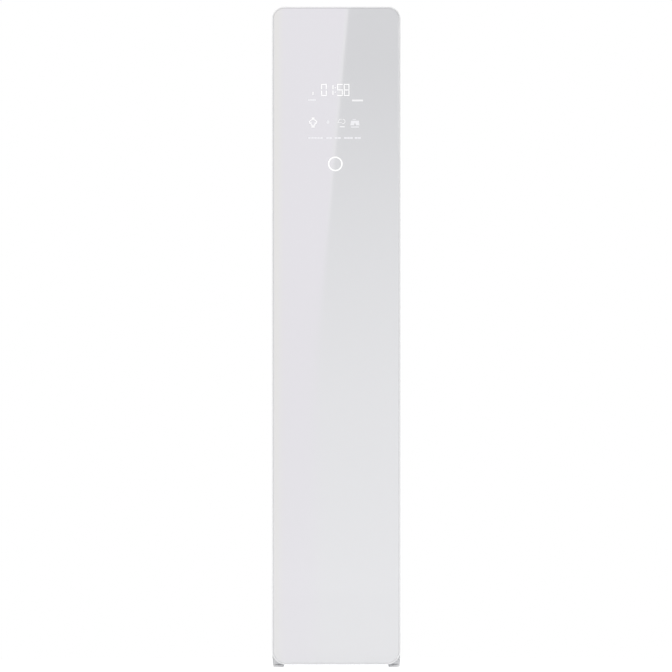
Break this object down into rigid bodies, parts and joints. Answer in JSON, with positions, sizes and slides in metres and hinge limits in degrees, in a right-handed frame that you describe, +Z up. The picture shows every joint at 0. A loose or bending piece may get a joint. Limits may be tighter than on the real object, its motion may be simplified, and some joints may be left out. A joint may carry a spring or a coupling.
{
  "type": "clothes care steam cabinet",
  "caption": "Tall narrow steam closet for clothes with a full-height glass door on a right-hand hinge, shaking hanger rail, lift-out water tanks, filter and heat pump.",
  "frame": {"origin": "on the floor under the middle of the closet's outer box", "axes": "+Z up, -Y out of the front, +X to the right as seen from the front"},
  "size_m": [0.36, 0.58, 1.85],
  "materials": {
    "casing_paint": "satin",
    "frame_plastic": "satin",
    "galvanised_steel": "satin",
    "zinc_screw": "polished",
    "black_plastic": "matte",
    "foot_plastic": "matte",
    "liner_plastic": "satin",
    "floor_plastic": "satin",
    "foam": "matte",
    "lamp_diffuser": "satin",
    "grille_plastic": "matte",
    "stainless": "satin",
    "filter_plastic": "satin",
    "mesh": "matte",
    "cartridge_plastic": "gloss",
    "coated_wire": "satin",
    "drive_steel": "satin",
    "ground_steel": "polished",
    "motor_steel": "satin",
    "rail_plastic": "satin",
    "hanger_plastic": "satin",
    "duct_plastic": "matte",
    "fin_aluminium": "satin",
    "rubber": "matte",
    "compressor_paint": "gloss",
    "cast_aluminium": "satin",
    "pump_plastic": "satin",
    "silicone": "satin",
    "copper": "satin",
    "board_green": "satin",
    "tank_clear": "gloss",
    "lid_plastic": "satin",
    "edge_aluminium": "satin",
    "coated_glass": "gloss",
    "door_liner_plastic": "satin",
    "gasket_rubber": "matte",
    "cap_plastic": "satin",
    "bush_plastic": "satin",
    "display_light": "satin"
  },
  "bodies": {
    "cabinet": {"air_duct": "duct_plastic", "back_panel": "galvanised_steel", "base_pan": "galvanised_steel", "cabin_floor": "floor_plastic", "cabin_lamp": "lamp_diffuser", "cabin_liner": "liner_plastic", "casing": "casing_paint", "compressor": "compressor_paint", "compressor_grommets": "rubber", "condenser": "fin_aluminium", "control_board": "board_green", "control_box": "black_plastic", "drive_housing": "drive_steel", "evaporator": "fin_aluminium", "fan_motor": "motor_steel", "fan_scroll": "duct_plastic", "front_frame": "frame_plastic", "hinge_brackets": "galvanised_steel", "hinge_pins": "ground_steel", "hinge_screws": "zinc_screw", "hoses": "silicone", "insulation": "foam", "mains_gland": "black_plastic", "outlet_grille": "grille_plastic", "panel_screws": "zinc_screw", "rail_guides": "ground_steel", "rail_motor": "motor_steel", "rear_feet": "foot_plastic", "refrigerant_pipes": "copper", "steam_generator": "cast_aluminium", "steam_nozzle": "stainless", "tank_valves": "pump_plastic", "wall_spacers": "black_plastic", "water_pumps": "pump_plastic"},
    "door": {"door_frame": "edge_aluminium", "door_glass": "coated_glass", "door_liner": "door_liner_plastic", "door_foam": "foam", "display_board": "board_green", "door_grip": "cap_plastic", "door_end_caps": "cap_plastic", "hinge_bushes": "bush_plastic", "door_gasket": "gasket_rubber", "display_symbols": "display_light"},
    "rail": {"rail_carriage": "rail_plastic", "hanger_rail": "rail_plastic"},
    "crank": {"rail_crank": "drive_steel"},
    "fan": {"fan_wheel": "filter_plastic"},
    "left_hanger": {"hanger_a": "hanger_plastic"},
    "right_hanger": {"hanger_b": "hanger_plastic"},
    "filter": {"filter_frame": "filter_plastic", "filter_mesh": "mesh"},
    "aroma": {"aroma_cartridge": "cartridge_plastic"},
    "shelf": {"shelf_rack": "coated_wire"},
    "supply": {"supply_tank": "tank_clear"},
    "supply_lid": {"supply_tank_lid": "lid_plastic"},
    "drain": {"drain_tank": "tank_clear"},
    "drain_lid": {"drain_tank_lid": "lid_plastic"},
    "left_foot": {"front_foot_left": "foot_plastic"},
    "right_foot": {"front_foot_right": "foot_plastic"}
  },
  "joints": [
    {"name": "door_hinge", "type": "hinge", "parent": "cabinet", "child": "door", "pos_m": [0.166, -0.266, 0.9], "axis": [0, 0, 1], "range_deg": [0, 110]},
    {"name": "rail_shake", "type": "slide", "parent": "cabinet", "child": "rail", "axis": [1, 0, 0], "range_m": [-0.00919, 0.00919]},
    {"name": "crank_turn", "type": "hinge", "parent": "cabinet", "child": "crank", "pos_m": [0, -0.012, 1.79], "axis": [0, 0, 1], "range_deg": [-50.5, 50.5]},
    {"name": "fan_spin", "type": "hinge", "parent": "cabinet", "child": "fan", "pos_m": [0, 0.1492, 0.3272], "axis": [1, 0, 0], "continuous": true},
    {"name": "left_hanger_swing", "type": "hinge", "parent": "rail", "child": "left_hanger", "pos_m": [0, -0.012, 1.69], "axis": [1, 0, 0], "range_deg": [-10, 10]},
    {"name": "right_hanger_swing", "type": "hinge", "parent": "rail", "child": "right_hanger", "pos_m": [0, -0.012, 1.69], "axis": [1, 0, 0], "range_deg": [-10, 10]},
    {"name": "filter_lift", "type": "slide", "parent": "cabinet", "child": "filter", "axis": [0, 0, 1], "range_m": [0, 0.06]},
    {"name": "aroma_lift", "type": "slide", "parent": "cabinet", "child": "aroma", "axis": [0, 0, 1], "range_m": [0, 0.06]},
    {"name": "shelf_lift", "type": "slide", "parent": "cabinet", "child": "shelf", "axis": [0, 0, 1], "range_m": [0, 0.2]},
    {"name": "supply_tank_lift", "type": "slide", "parent": "cabinet", "child": "supply", "axis": [0, 0, 1], "range_m": [0, 0.28]},
    {"name": "drain_tank_lift", "type": "slide", "parent": "cabinet", "child": "drain", "axis": [0, 0, 1], "range_m": [0, 0.28]},
    {"name": "supply_lid_lift", "type": "slide", "parent": "supply", "child": "supply_lid", "axis": [0, 0, 1], "range_m": [0, 0.06]},
    {"name": "drain_lid_lift", "type": "slide", "parent": "drain", "child": "drain_lid", "axis": [0, 0, 1], "range_m": [0, 0.06]},
    {"name": "left_foot_turn", "type": "hinge", "parent": "cabinet", "child": "left_foot", "pos_m": [-0.1622, -0.204, 0], "axis": [0, 0, 1], "continuous": true},
    {"name": "right_foot_turn", "type": "hinge", "parent": "cabinet", "child": "right_foot", "pos_m": [0.1622, -0.204, 0], "axis": [0, 0, 1], "continuous": true}
  ],
  "couplings": [
    {"joint": "crank_turn", "follows": "rail_shake", "rad_per_m": -94.97}
  ]
}
